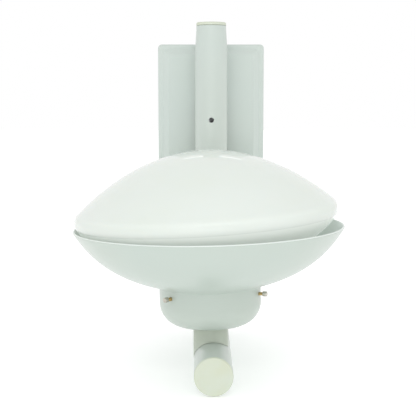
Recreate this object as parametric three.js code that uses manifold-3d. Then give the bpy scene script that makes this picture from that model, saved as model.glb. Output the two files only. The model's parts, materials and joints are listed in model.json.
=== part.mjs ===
// White enamelled wall uplight.
//
// A pressed wall plate carries a vertical tube. A horizontal arm at the tube's foot carries a short
// post, and the post carries the lamp head: a gallery cup, a spun dish, an E27 lampholder with its
// bulb, and an opal glass shade held in the cup by three thumb screws.
//
// Units are millimetres. +Z is up and the room is towards -Y. The origin is the centre of the wall
// bracket's back face, on the wall.

import * as THREE from 'three';
import { mergeVertices } from 'three/addons/utils/BufferGeometryUtils.js';
import Module from 'manifold-3d';

// ---------------------------------------------------------------- driving dimensions

const clearance = 0.3; // gap left between pieces that touch

// Wall plate: a pressed cover with a rounded edge, a narrow land, a bevel and a raised flat centre.
const plateWidth = 108;
const plateHeight = 198;
const plateDepth = 23;
const plateSheet = 1.2;
const plateCorner = 4;
const plateEdgeRadius = 3.5;
const plateLandDepth = 17.5;
const plateBevelInset = 4.3;
const plateFlatInset = 11.6;

// Wall bracket inside the plate.
const bracketWidth = 70;
const bracketHeight = 170;
const bracketSheet = 2;
const bracketCorner = 6;
const bracketSlotHeight = 68;
const bracketSlotHalfLength = 5;
const bracketSlotRadius = 2.5;
const supplyHoleHeight = -36;
const supplyHoleRadius = 9;
const earthScrewX = 22;
const pillarRadius = 4.2; // over the corners of the hexagon
const terminalBlockHeight = -62;

// Vertical tube and horizontal arm, both of the same round tube.
const tubeRadius = 16;
const tubeWall = 1.5;
const wallTubeY = -47;
const wallTubeTop = 115.3;
const wallTubeFoot = -190.7;
const wallTubeTopRadius = 14.7; // the top end is drawn in
const wallTubeTaperFoot = 88;
const armHeight = -178;
const armFront = -262.7;
const leadWayRadius = 9; // the openings from tube to arm and from arm to post
const capFlange = 3;
const capEdgeRadius = 0.9;
const capPlug = 6;
const capPlugWall = 1.8;

// Two screws and one cable hole join the vertical tube, the saddle and the plate.
const fixingHeights = { upper: 23, lower: -9 };
const cableHoleHeight = 6;
const cableHoleRadius = 6;
const screwShankRadius = 2;
const screwHeadRadius = 3.6;
const tubeScrewLength = 25;
const tubeScrewFloat = 0.8; // the head's seat stands this far inside the tube's front wall
const accessHoleRadius = 2.5;
const saddleWidth = 20;
const saddleFoot = -22;
const saddleTop = 34;
const saddleDepth = 10;

// Post and lamp head. Head heights below are counted from the underside of the gallery cup.
const lampX = -1.7;
const lampY = -202;
const postRadius = 15;
const postGap = 0.55; // the leaning cup just clears the post's level top
const postTopSheet = 2;
const headHeight = -148.7;
const headLean = THREE.MathUtils.degToRad(1.3); // the head's right side stands a little high
const nippleRadius = 4.9;
const nippleBore = 3.4;
const nippleFoot = -9;
const nippleTop = 11;
const nutRadius = 8; // over the corners of the hexagon
const lowerNutFoot = -7.2;
const lowerNutHeight = 3.6;
const upperNutHeight = 3.2;

// Gallery cup.
const cupRadius = 43.4;
const cupHeight = 33.6;
const cupSheet = 1.2;
const cupCorner = 20;

// Thumb screws: bearings are counted from the front, -Y, towards +X.
const thumbScrewBearings = [71, -49, 191];
const thumbScrewHeight = 28;
const thumbShankRadius = 1.5;
const thumbShankStart = 38.4;
const thumbHeadStart = 46.8;
const thumbHeadRadius = 2.15;
const thumbHeadLength = 3.7;
const collarRadius = 3;
const collarLength = 2.4;

// Spun dish.
const dishRimRadius = 114.8;
const dishRimHeight = 84.5;
const dishNeckHandle = [42.4, 37.2];
const dishRimHandle = [89.8, 39.5];
const dishSheet = 1.2;

// Opal glass shade, blown, open only at its neck. It sits slightly askew between the screws.
const glassRadius = 111.5;
const glassEquator = 95.3;
const glassApex = 149.7;
const glassEdgeRadius = 10;
const glassWall = 3;
const glassNeckRadius = 36.8;
const glassNeckFoot = 18;
const glassNeckTop = 40;
const glassLean = THREE.MathUtils.degToRad(2.4); // on top of the head's own lean
const glassShift = 2;

// Bulb and lampholder.
const bulbRadius = 27.5;
const bulbCentre = 86;
const bulbCapRadius = 13.1;
const bulbCapFoot = 22.4;
const bulbCapTop = 44;
const holderRadius = 18;
const holderWall = 1.6;
const holderFoot = 5;
const holderJoint = 20; // where the holder's outer shell screws on its base
const holderTop = 41.5;
const holderMouthRadius = 14.6;
const holderFlangeRadius = 21;
const insulatorFoot = 14;
const insulatorTop = 18.2;
const threadShellRadius = 14.3;
const threadShellSheet = 0.7;
const threadShellTop = 40;

// Flexible lead inside the lamp.
const leadRadius = 2.5;

// ---------------------------------------------------------------- materials

function finish(color, roughness, metalness) {
  return new THREE.MeshStandardMaterial({ color, roughness, metalness });
}

const whiteEnamel = () => finish(0xe9efe9, 0.35, 0);
const creamPlastic = () => finish(0xe9ebdb, 0.45, 0);
const opalGlass = () => finish(0xf1f5f0, 0.08, 0);
const zincSteel = () => finish(0xb4b7b8, 0.4, 0.9);
const brass = () => finish(0xb5985a, 0.3, 0.9);
const blackPlastic = () => finish(0x2a2a2b, 0.5, 0);
const rubber = () => finish(0x3a3a38, 0.8, 0);

// ---------------------------------------------------------------- solids

const wasm = await Module();
wasm.setup();

// Leaves positions only, with shared vertices merged and collapsed triangles dropped.
function welded(geometry) {
  const bare = geometry.clone();
  bare.deleteAttribute('normal');
  bare.deleteAttribute('uv');
  const merged = mergeVertices(bare, 1e-4);
  const corners = merged.index.array;
  const kept = [];
  for (let i = 0; i < corners.length; i += 3) {
    const [a, b, c] = [corners[i], corners[i + 1], corners[i + 2]];
    if (a !== b && b !== c && c !== a) kept.push(a, b, c);
  }
  merged.setIndex(kept);
  return merged;
}

function solidOf(geometry) {
  const shape = welded(geometry);
  const vertProperties = Float32Array.from(shape.attributes.position.array);
  const triVerts = Uint32Array.from(shape.index.array);
  return new wasm.Manifold(new wasm.Mesh({ numProp: 3, vertProperties, triVerts }));
}

function geometryOf(solid) {
  const result = solid.getMesh();
  const geometry = new THREE.BufferGeometry();
  const positions = Float32Array.from(result.vertProperties);
  geometry.setAttribute('position', new THREE.BufferAttribute(positions, 3));
  geometry.setIndex(Array.from(result.triVerts));
  return geometry;
}

function cut(geometry, ...tools) {
  return geometryOf(tools.reduce((solid, tool) => solid.subtract(solidOf(tool)), solidOf(geometry)));
}

function join(geometry, ...others) {
  return geometryOf(others.reduce((solid, other) => solid.add(solidOf(other)), solidOf(geometry)));
}

// Turns a closed outline of [radius, height] points about +Z.
function turned(outline, segments = 40) {
  const points = outline.map(([radius, height]) => new THREE.Vector2(radius, height));
  if (THREE.ShapeUtils.area(points) < 0) points.reverse();
  points.push(points[0].clone());
  return welded(new THREE.LatheGeometry(points, segments).rotateX(Math.PI / 2));
}

// Extrudes a shape drawn in X and Z from the plane y = front back towards +Y.
function plateOf(shape, front, thickness, curveSegments = 12) {
  const options = { depth: thickness, bevelEnabled: false, curveSegments };
  const sheet = new THREE.ExtrudeGeometry(shape, options);
  return sheet.rotateX(Math.PI / 2).translate(0, front + thickness, 0);
}

// A round bar along +Z from z = 0.
function barAlongZ(radius, length, segments = 24) {
  const bar = new THREE.CylinderGeometry(radius, radius, length, segments);
  return bar.rotateX(Math.PI / 2).translate(0, 0, length / 2);
}

// A round bar along -Y from y = 0.
function barAlongY(radius, length, segments = 24) {
  return barAlongZ(radius, length, segments).rotateX(Math.PI / 2);
}

// Points of an arc in the [radius, height] plane, with its angles in degrees.
function arc(centreRadius, centreHeight, radius, from, to, steps) {
  return Array.from({ length: steps + 1 }, (_, i) => {
    const angle = THREE.MathUtils.degToRad(from + ((to - from) * i) / steps);
    return [centreRadius + radius * Math.cos(angle), centreHeight + radius * Math.sin(angle)];
  });
}

// Points of a cubic Bezier curve in the [radius, height] plane.
function bezier(start, startHandle, endHandle, end, steps) {
  const corners = [start, startHandle, endHandle, end].map(([x, y]) => new THREE.Vector2(x, y));
  return new THREE.CubicBezierCurve(...corners).getPoints(steps).map(({ x, y }) => [x, y]);
}

// The same run of points moved sideways, to the left of its direction of travel.
function offset(points, distance) {
  return points.map(([radius, height], i) => {
    const before = points[Math.max(i - 1, 0)];
    const after = points[Math.min(i + 1, points.length - 1)];
    const along = new THREE.Vector2(after[0] - before[0], after[1] - before[1]).normalize();
    return [Math.max(radius - along.y * distance, 0), height + along.x * distance];
  });
}

function roundedRectangle(width, height, radius) {
  const [x, y] = [width / 2, height / 2];
  const shape = new THREE.Shape();
  shape.moveTo(x - radius, -y);
  shape.absarc(x - radius, -y + radius, radius, -Math.PI / 2, 0);
  shape.absarc(x - radius, y - radius, radius, 0, Math.PI / 2);
  shape.absarc(-x + radius, y - radius, radius, Math.PI / 2, Math.PI);
  shape.absarc(-x + radius, -y + radius, radius, Math.PI, 1.5 * Math.PI);
  return shape;
}

function circleHole(x, y, radius) {
  return new THREE.Path().absarc(x, y, radius, 0, 2 * Math.PI, true);
}

// ---------------------------------------------------------------- assembly

const lamp = new THREE.Group();
const head = new THREE.Group();
head.position.set(lampX, lampY, headHeight);
head.rotation.y = -headLean;
lamp.add(head);

function place(parent, name, geometry, material) {
  const mesh = new THREE.Mesh(geometry, material);
  mesh.name = name;
  geometry.computeVertexNormals();
  parent.add(mesh);
  return mesh;
}

// ---------------------------------------------------------------- wall bracket and wiring

function wallBracket() {
  const shape = roundedRectangle(bracketWidth, bracketHeight, bracketCorner);
  for (const height of [-bracketSlotHeight, bracketSlotHeight]) {
    const slot = new THREE.Path();
    slot.absarc(0, height + bracketSlotHalfLength, bracketSlotRadius, 0, Math.PI);
    slot.absarc(0, height - bracketSlotHalfLength, bracketSlotRadius, Math.PI, 2 * Math.PI);
    shape.holes.push(slot);
  }
  shape.holes.push(circleHole(0, supplyHoleHeight, supplyHoleRadius));
  shape.holes.push(circleHole(earthScrewX, supplyHoleHeight, screwShankRadius + clearance));
  return plateOf(shape, -bracketSheet, bracketSheet, 8);
}

// Hexagonal pillar with a through bore for the tube screw, from the bracket to the plate.
function pillar(height) {
  const foot = -bracketSheet - clearance;
  const top = -plateDepth + plateSheet + clearance;
  const hexagon = barAlongY(pillarRadius, foot - top, 6);
  const bore = barAlongY(screwShankRadius + clearance, foot - top + 2, 16).translate(0, 1, 0);
  return cut(hexagon, bore).translate(0, foot, height);
}

// Machine screw with a hollow drive in its head, along -Y: shank from y = 0, then the head.
function machineScrew(shankLength, headLength, driveRadius) {
  const chamfer = 0.6;
  const headTop = shankLength + headLength;
  const driveFloor = shankLength + headLength / 2;
  const outline = [
    [0, 0],
    [screwShankRadius, 0],
    [screwShankRadius, shankLength],
    [screwHeadRadius, shankLength],
    [screwHeadRadius, headTop - chamfer],
    [screwHeadRadius - chamfer, headTop],
    [driveRadius, headTop],
    [driveRadius, driveFloor],
    [0, driveFloor],
  ];
  return turned(outline, 16).rotateX(Math.PI / 2);
}

// Three-pole connector strip: a moulded bar with a screw tower over each pole.
function terminalBlock() {
  const [width, depth, height] = [33, 9, 18];
  const poles = [-10, 0, 10];
  const towerHeight = 5;
  const towerZ = 4;
  const body = new THREE.BoxGeometry(width, depth, height).translate(0, -depth / 2, 0);
  const towers = poles.map((x) => barAlongY(4, depth + towerHeight, 16).translate(x, 0, towerZ));
  const screwWells = poles.map((x) => barAlongY(2.4, 8, 12).translate(x, -depth, towerZ));
  const leadWays = poles.map((x) => barAlongZ(1.8, 2 * height, 12).translate(x, -depth / 2, -height));
  return cut(join(body, ...towers), ...screwWells, ...leadWays).translate(0, 0, terminalBlockHeight);
}

// Rubber bush with a flange inside the plate, lining the cable hole as far as the saddle.
function cableGrommet() {
  const bore = leadRadius + 1.2;
  const barrel = cableHoleRadius - clearance;
  const flange = { radius: barrel + 2, front: plateDepth - plateSheet - clearance, thickness: 1.6 };
  const barrelEnd = plateDepth + 5;
  const outline = [
    [bore, flange.front - flange.thickness],
    [flange.radius, flange.front - flange.thickness],
    [flange.radius, flange.front],
    [barrel, flange.front],
    [barrel, barrelEnd],
    [bore, barrelEnd],
  ];
  return turned(outline, 24).rotateX(Math.PI / 2).translate(0, 0, cableHoleHeight);
}

// ---------------------------------------------------------------- wall plate

// One level of the plate's skin: a rounded rectangle at a given inset from the outer edge.
function plateRing(inset, y) {
  const radius = Math.max(plateCorner - inset * 0.3, 1.2);
  const outline = roundedRectangle(plateWidth - 2 * inset, plateHeight - 2 * inset, radius).getPoints(3);
  return outline.slice(0, -1).map(({ x, y: z }) => new THREE.Vector3(x, y, z));
}

function plateSkin(thickness) {
  const depth = plateDepth - thickness;
  const land = plateLandDepth - thickness;
  const edge = arc(thickness + plateEdgeRadius, land - plateEdgeRadius, plateEdgeRadius, 180, 90, 3);
  const bevelFoot = [plateBevelInset + thickness * 0.7, land];
  const levels = [[thickness, 0], ...edge, bevelFoot, [plateFlatInset, depth]];
  return levels.map(([inset, height]) => plateRing(inset, -height));
}

// Walks the outer skin from its flat centre to the rim, then the inner skin back to its centre.
function plateCover() {
  const rings = [...plateSkin(0).reverse(), ...plateSkin(plateSheet)];
  const count = rings[0].length;
  const vertices = rings.flat();
  const faces = [];
  for (let level = 0; level + 1 < rings.length; level += 1) {
    for (let i = 0; i < count; i += 1) {
      const next = (i + 1) % count;
      const [a, b] = [level * count + i, level * count + next];
      const [c, d] = [a + count, b + count];
      faces.push(a, c, b, b, c, d);
    }
  }
  const last = vertices.length - count;
  for (let i = 1; i + 1 < count; i += 1) {
    faces.push(0, i, i + 1);
    faces.push(last, last + i + 1, last + i);
  }
  const shell = new THREE.BufferGeometry().setFromPoints(vertices);
  shell.setIndex(faces);
  const inside = -plateDepth / 2;
  const screwHoles = Object.values(fixingHeights).map((height) =>
    barAlongY(accessHoleRadius, plateDepth, 16).translate(0, inside, height));
  const cableHole = barAlongY(cableHoleRadius, plateDepth, 24).translate(0, inside, cableHoleHeight);
  return cut(shell, ...screwHoles, cableHole);
}

// Block between plate and tube: flat behind, hollowed to the tube in front.
function tubeSaddle() {
  const back = -plateDepth - clearance;
  const block = new THREE.BoxGeometry(saddleWidth, saddleDepth, saddleTop - saddleFoot);
  block.translate(0, back - saddleDepth / 2, (saddleTop + saddleFoot) / 2);
  const tube = barAlongZ(tubeRadius + clearance, 100, 48).translate(0, wallTubeY, -50);
  const screwHoles = Object.values(fixingHeights).map((height) =>
    barAlongY(accessHoleRadius, 2 * saddleDepth, 16).translate(0, back + 5, height));
  const cableHole = barAlongY(cableHoleRadius, 2 * saddleDepth, 24).translate(0, back + 5, cableHoleHeight);
  return cut(block, tube, ...screwHoles, cableHole);
}

// ---------------------------------------------------------------- tubes and end caps

function pipe(radius, wall, length, segments = 32) {
  const bore = radius - wall;
  return turned([[bore, 0], [radius, 0], [radius, length], [bore, length]], segments);
}

// Upright tube, drawn in at its top: screw and cable holes behind, driver holes in front, and a
// way into the arm.
function wallTube() {
  const bore = tubeRadius - tubeWall;
  const outline = [
    [bore, wallTubeFoot],
    [tubeRadius, wallTubeFoot],
    [tubeRadius, wallTubeTaperFoot],
    [wallTubeTopRadius, wallTubeTop],
    [wallTubeTopRadius - tubeWall, wallTubeTop],
    [bore, wallTubeTaperFoot],
  ];
  const reach = 20;
  const back = wallTubeY + reach;
  const heights = Object.values(fixingHeights);
  const tube = turned(outline, 32).translate(0, wallTubeY, 0);
  const driverHoles = heights.map((z) => barAlongY(accessHoleRadius, reach, 20).translate(0, wallTubeY, z));
  const screwHoles = heights.map((z) => barAlongY(accessHoleRadius, reach, 16).translate(0, back, z));
  const cableHole = barAlongY(cableHoleRadius, reach, 20).translate(0, back, cableHoleHeight);
  const wayIntoArm = barAlongY(leadWayRadius, reach, 24).translate(0, wallTubeY, armHeight);
  return cut(tube, ...driverHoles, ...screwHoles, cableHole, wayIntoArm);
}

// Arm: its rear end is hollowed to the upright tube, and its top is open under the post.
function armTube() {
  const tube = pipe(tubeRadius, tubeWall, wallTubeY - armFront).rotateX(Math.PI / 2);
  tube.translate(0, wallTubeY, armHeight);
  const upright = barAlongZ(tubeRadius + clearance, 60, 48).translate(0, wallTubeY, armHeight - 30);
  const wayIntoPost = barAlongZ(leadWayRadius, 20, 24).translate(lampX, lampY, armHeight);
  return cut(tube, upright, wayIntoPost);
}

// Post: hollowed to the arm at its foot, closed at its top by a plate with the nipple's hole.
function post() {
  const [foot, top] = [armHeight, headHeight - postGap];
  const bore = postRadius - tubeWall;
  const outline = [
    [postRadius, foot],
    [postRadius, top],
    [nippleRadius + clearance, top],
    [nippleRadius + clearance, top - postTopSheet],
    [bore, top - postTopSheet],
    [bore, foot],
  ];
  const arm = barAlongY(tubeRadius + clearance, 80, 48).translate(-lampX, 40, armHeight);
  return cut(turned(outline, 32), arm).translate(lampX, lampY, 0);
}

// Push-in plastic cap: a flange as wide as the tube's end and a hollow plug inside it, facing +Z.
function tubeCap(radius) {
  const plug = radius - tubeWall - clearance;
  const outline = [
    [0, capFlange],
    ...arc(radius - capEdgeRadius, capFlange - capEdgeRadius, capEdgeRadius, 90, 0, 2),
    [radius, 0],
    [plug, 0],
    [plug, -capPlug],
    [plug - capPlugWall, -capPlug],
    [plug - capPlugWall, 0],
    [0, 0],
  ];
  return turned(outline, 32);
}

// ---------------------------------------------------------------- lamp head

function galleryCup() {
  const outline = [
    [nippleRadius + clearance, 0],
    ...arc(cupRadius - cupCorner, cupCorner, cupCorner, -90, 0, 4),
    [cupRadius, cupHeight],
    [cupRadius - cupSheet, cupHeight],
    ...arc(cupRadius - cupCorner, cupCorner, cupCorner - cupSheet, 0, -90, 4),
    [nippleRadius + clearance, cupSheet],
  ];
  const collarStart = cupRadius - cupSheet / 2 - collarLength;
  const collars = thumbScrewBearings.map((bearing) =>
    radialBar(collarRadius, collarStart, collarLength, bearing, 16));
  const holes = thumbScrewBearings.map((bearing) =>
    radialBar(thumbShankRadius + clearance, cupRadius - 8, 16, bearing, 16));
  return cut(join(turned(outline), ...collars), ...holes);
}

// Turns a piece built along +Z so that it points outwards at a thumb screw's height and bearing.
function atThumbScrew(geometry, bearing) {
  const angle = THREE.MathUtils.degToRad(bearing);
  return geometry.rotateX(Math.PI / 2).rotateZ(angle).translate(0, 0, thumbScrewHeight);
}

function radialBar(radius, start, length, bearing, segments) {
  return atThumbScrew(barAlongZ(radius, length, segments).translate(0, 0, start), bearing);
}

function thumbScrew(bearing) {
  const headEnd = thumbHeadStart + thumbHeadLength;
  const chamfer = 0.4;
  const outline = [
    [0, thumbShankStart],
    [thumbShankRadius - chamfer, thumbShankStart],
    [thumbShankRadius, thumbShankStart + chamfer],
    [thumbShankRadius, thumbHeadStart],
    [thumbHeadRadius, thumbHeadStart],
    [thumbHeadRadius, headEnd - chamfer],
    [thumbHeadRadius - chamfer, headEnd],
    [0, headEnd],
  ];
  return atThumbScrew(turned(outline, 16), bearing);
}

// Dish: brazed on the cup's rim, flaring to a plain rim.
function dish() {
  const neck = [cupRadius, cupHeight + clearance];
  const rim = [dishRimRadius, dishRimHeight];
  const outside = bezier(neck, dishNeckHandle, dishRimHandle, rim, 8);
  const inside = offset(outside, dishSheet).reverse();
  inside[inside.length - 1] = [cupRadius - cupSheet, neck[1] + dishSheet];
  return turned([[cupRadius - cupSheet, neck[1]], ...outside, ...inside], 48);
}

// Outside of the glass, from the foot of its neck round the edge to the apex.
function glassOutside() {
  const edgeCentre = glassRadius - glassEdgeRadius;
  const edge = arc(edgeCentre, glassEquator, glassEdgeRadius, -48, 29, 5);
  const neckTop = [glassNeckRadius, glassNeckTop];
  const underside = bezier(neckTop, [glassNeckRadius + 5, glassNeckTop + 10], [98, 68], edge[0], 5);
  const dome = bezier(edge[edge.length - 1], [79.5, 128.6], [40.6, glassApex], [0, glassApex], 8);
  return [[glassNeckRadius, glassNeckFoot], ...underside, ...edge.slice(1), ...dome.slice(1)];
}

function glassShade() {
  const outside = glassOutside();
  const inside = offset(outside, glassWall).reverse();
  return turned([...outside, ...inside], 48);
}

// ---------------------------------------------------------------- lampholder and bulb

function hexNut(foot, height) {
  const bore = barAlongZ(nippleRadius + clearance, height + 2, 24).translate(0, 0, -1);
  return cut(barAlongZ(nutRadius, height, 6), bore).translate(0, 0, foot);
}

function nipple() {
  const wall = nippleRadius - nippleBore;
  return pipe(nippleRadius, wall, nippleTop - nippleFoot, 24).translate(0, 0, nippleFoot);
}

// Lower half of the lampholder's case: a cup with a broken lower corner, open at the top.
function holderBase() {
  const bore = nippleRadius + clearance;
  const corner = 3;
  const inner = holderRadius - holderWall;
  const outline = [
    [bore, holderFoot],
    [holderRadius - corner, holderFoot],
    [holderRadius, holderFoot + corner],
    [holderRadius, holderJoint],
    [inner, holderJoint],
    [inner, holderFoot + corner + 0.8],
    [inner - 2.2, holderFoot + holderWall],
    [bore, holderFoot + holderWall],
  ];
  return turned(outline, 24);
}

function holderInsulator() {
  const radius = holderRadius - holderWall - clearance;
  const outline = [
    [0, insulatorFoot],
    [radius, insulatorFoot],
    [radius, insulatorTop],
    [0, insulatorTop],
  ];
  return turned(outline, 24);
}

// Sprung tongue under the bulb's foot.
function holderContact() {
  const [width, depth, sheet] = [7, 5, 1.2];
  return new THREE.BoxGeometry(width, depth, sheet).translate(0, 0, insulatorTop + clearance + sheet / 2);
}

function holderThreadShell() {
  const foot = insulatorTop + clearance;
  return pipe(threadShellRadius, threadShellSheet, threadShellTop - foot, 24).translate(0, 0, foot);
}

// Upper half of the case, with a flange and a mouth that closes in on the thread shell.
function holderOuterShell() {
  const foot = holderJoint + clearance;
  const inner = holderRadius - holderWall;
  const flange = { foot: 35, top: 38, slope: 1 };
  const outline = [
    [inner, foot],
    [holderRadius, foot],
    [holderRadius, flange.foot - flange.slope],
    [holderFlangeRadius, flange.foot],
    [holderFlangeRadius, flange.top],
    [holderRadius, flange.top + flange.slope],
    [holderRadius, holderTop],
    [holderMouthRadius, holderTop],
    [holderMouthRadius, foot + 1.7],
    [inner, foot + 1.7],
  ];
  return turned(outline, 24);
}

function bulbContact() {
  const top = bulbCapFoot - clearance;
  const foot = top - 2.1;
  return turned([[0, foot], [3.5, foot], [5, top], [0, top]], 16);
}

function bulbCap() {
  const outline = [
    [0, bulbCapFoot],
    [6, bulbCapFoot],
    [bulbCapRadius, bulbCapFoot + 3.5],
    [bulbCapRadius, bulbCapTop],
    [0, bulbCapTop],
  ];
  return turned(outline, 24);
}

function bulbGlass() {
  const foot = bulbCapTop + clearance;
  const bulge = arc(0, bulbCentre, bulbRadius, -20, 90, 7);
  const waist = bezier([12.6, foot], [13.5, 60], [22, 63], bulge[0], 5);
  return turned([[0, foot], ...waist, ...bulge.slice(1)], 24);
}

// ---------------------------------------------------------------- lead

// Twin flex from the connector strip through the grommet, down the tube, along the arm and up
// the post into the lampholder.
function flexLead() {
  const insidePlate = [
    [10, -7, -51],
    [11, -8, -40],
    [12, -9, -22],
    [10, -10, -7],
    [6, -12, 2],
    [1, -17.5, 5.7],
  ];
  const throughGrommet = [-24, -33].map((y) => [0, y, cableHoleHeight]);
  const downTube = [-8, -30, -80, -130, -160].map((z) => [0, wallTubeY, z]);
  const alongArm = [-62, -90, -140, -184].map((y) => [0, y, armHeight]);
  const upPost = [-161, -150, -139].map((z) => [lampX, lampY, z]);
  const route = [
    ...insidePlate,
    ...throughGrommet,
    [0, -42, 3],
    ...downTube,
    [0, wallTubeY - 3.5, armHeight + 5],
    ...alongArm,
    [lampX / 2, lampY + 4, armHeight + 4.5],
    ...upPost,
  ];
  const extrudePath = new THREE.CatmullRomCurve3(route.map((point) => new THREE.Vector3(...point)));
  const section = new THREE.Shape().absarc(0, 0, leadRadius, 0, 2 * Math.PI);
  const options = { extrudePath, steps: 48, bevelEnabled: false, curveSegments: 4 };
  return new THREE.ExtrudeGeometry(section, options);
}

// ---------------------------------------------------------------- build

place(lamp, 'wall_bracket', wallBracket(), zincSteel());
place(lamp, 'plate_cover', plateCover(), whiteEnamel());
place(lamp, 'tube_saddle', tubeSaddle(), blackPlastic());
place(lamp, 'cable_grommet', cableGrommet(), rubber());
const screwTip = wallTubeY + tubeRadius - tubeWall - tubeScrewFloat + tubeScrewLength;
for (const [level, height] of Object.entries(fixingHeights)) {
  const screw = machineScrew(tubeScrewLength, 4, 1.6).translate(0, screwTip, height);
  place(lamp, `pillar_${level}`, pillar(height), zincSteel());
  place(lamp, `tube_screw_${level}`, screw, zincSteel());
}
const connectorStrip = terminalBlock().translate(0, -bracketSheet - clearance, 0);
place(lamp, 'terminal_block', connectorStrip, creamPlastic());
const earthScrew = machineScrew(2.1, 2.4, 1.2).translate(earthScrewX, -0.5, supplyHoleHeight);
place(lamp, 'earth_screw', earthScrew, brass());

place(lamp, 'wall_tube', wallTube(), whiteEnamel());
const topCap = tubeCap(wallTubeTopRadius).translate(0, wallTubeY, wallTubeTop + clearance);
place(lamp, 'wall_tube_top_cap', topCap, creamPlastic());
const footCap = tubeCap(tubeRadius).rotateX(Math.PI).translate(0, wallTubeY, wallTubeFoot - clearance);
place(lamp, 'wall_tube_foot_cap', footCap, creamPlastic());
place(lamp, 'arm_tube', armTube(), whiteEnamel());
const frontCap = tubeCap(tubeRadius).rotateX(Math.PI / 2).translate(0, armFront - clearance, armHeight);
place(lamp, 'arm_front_cap', frontCap, creamPlastic());
place(lamp, 'post', post(), creamPlastic());
place(lamp, 'flex_lead', flexLead(), rubber());

place(head, 'nipple', nipple(), brass());
place(head, 'nipple_nut_lower', hexNut(lowerNutFoot, lowerNutHeight), brass());
place(head, 'nipple_nut_upper', hexNut(cupSheet + clearance, upperNutHeight), brass());
place(head, 'gallery_cup', galleryCup(), whiteEnamel());
place(head, 'dish', dish(), whiteEnamel());
thumbScrewBearings.forEach((bearing, i) => {
  place(head, `thumb_screw_${i + 1}`, thumbScrew(bearing), brass());
});
place(head, 'holder_base', holderBase(), blackPlastic());
place(head, 'holder_insulator', holderInsulator(), creamPlastic());
place(head, 'holder_contact', holderContact(), brass());
place(head, 'holder_thread_shell', holderThreadShell(), brass());
place(head, 'holder_outer_shell', holderOuterShell(), blackPlastic());
place(head, 'bulb_contact', bulbContact(), brass());
place(head, 'bulb_cap', bulbCap(), zincSteel());
place(head, 'bulb_glass', bulbGlass(), opalGlass());

const glass = place(head, 'glass_shade', glassShade(), opalGlass());
glass.position.x = glassShift;
glass.rotation.y = -glassLean;

export default lamp;
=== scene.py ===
"""Looks for the white wall uplight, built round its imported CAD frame.

Everything is in metres in the row frame: +Z up, the room towards -Y, the wall at Y = 0.
"""

import json
import math

import bmesh
import bpy
from mathutils import Matrix, Vector


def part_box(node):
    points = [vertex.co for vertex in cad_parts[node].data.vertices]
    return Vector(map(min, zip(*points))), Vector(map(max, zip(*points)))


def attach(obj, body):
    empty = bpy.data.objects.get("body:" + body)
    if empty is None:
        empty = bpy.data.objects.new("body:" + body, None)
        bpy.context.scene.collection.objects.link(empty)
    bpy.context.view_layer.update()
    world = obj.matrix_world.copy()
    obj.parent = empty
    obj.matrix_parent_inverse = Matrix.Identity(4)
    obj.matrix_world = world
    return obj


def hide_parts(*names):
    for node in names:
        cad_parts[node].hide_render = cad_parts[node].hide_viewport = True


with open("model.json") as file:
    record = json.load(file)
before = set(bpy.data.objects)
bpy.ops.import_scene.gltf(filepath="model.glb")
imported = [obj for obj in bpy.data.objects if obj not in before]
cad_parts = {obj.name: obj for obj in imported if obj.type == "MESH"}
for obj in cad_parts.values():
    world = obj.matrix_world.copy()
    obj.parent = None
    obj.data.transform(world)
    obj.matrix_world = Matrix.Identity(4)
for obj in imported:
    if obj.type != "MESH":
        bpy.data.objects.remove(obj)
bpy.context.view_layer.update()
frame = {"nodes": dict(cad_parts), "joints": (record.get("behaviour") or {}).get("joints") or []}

MM = 0.001
SHARP = 38.0  # degrees between two faces from which their edge is drawn sharp

# ---------------------------------------------------------------- places and sizes, in millimetres

PLATE_LOW, PLATE_HIGH = (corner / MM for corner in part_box("plate_cover"))
TUBE_LOW, TUBE_HIGH = (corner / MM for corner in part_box("wall_tube"))
ARM_LOW, ARM_HIGH = (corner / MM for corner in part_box("arm_tube"))
POST_LOW, POST_HIGH = (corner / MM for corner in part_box("post"))
TOP_CAP_LOW, TOP_CAP_HIGH = (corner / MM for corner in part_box("wall_tube_top_cap"))

GAP = 0.3  # between pieces that touch in the real lamp

# Wall plate: insets are counted from its outline, and depths from the wall.
PLATE_SHEET, PLATE_LAND = 1.2, 17.5
PLATE_CORNER, PLATE_LEAST_CORNER = 4.0, 1.4
PLATE_EDGE_ROUND = 3.0
BEVEL_FOOT, BEVEL_FOOT_ROUND = 4.6, 1.0
BEVEL_CREST, BEVEL_CREST_ROUND = 11.2, 1.6

# Tube frame
TUBE_RADIUS = (TUBE_HIGH.x - TUBE_LOW.x) / 2
TUBE_WALL = 1.5
TUBE_TOP_RADIUS = (TOP_CAP_HIGH.x - TOP_CAP_LOW.x) / 2
TUBE_END_ROUND, TAPER_END_ROUND = 0.35, 0.4
TAPER_FOOT, TAPER_HANDLE = 88, 8  # the tube is drawn in above this height
TUBE_Y = (TUBE_LOW.y + TUBE_HIGH.y) / 2
ARM_Z = (ARM_LOW.z + ARM_HIGH.z) / 2
FIXING_HEIGHTS, FIXING_HOLE_RADIUS = (23, -9), 2.5
CABLE_HOLE_HEIGHT, CABLE_HOLE_RADIUS = 6, 6
PASSAGE_RADIUS = 9  # the lead's way from upright to arm and from arm to post
CAP_FLANGE, CAP_ROUND, CAP_HEEL_ROUND = 3.0, 1.1, 0.25
PLUG_DEPTH, PLUG_SKIN = 6, 1.8
WELD_RADIUS, WELD_RIPPLE, WELD_RIPPLES = 0.9, 0.08, 17
POST_RADIUS = (POST_HIGH.x - POST_LOW.x) / 2
POST_CROWN, POST_ROUND = 2, 0.5
LAMP_X = (POST_LOW.x + POST_HIGH.x) / 2
LAMP_Y = (POST_LOW.y + POST_HIGH.y) / 2

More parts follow.
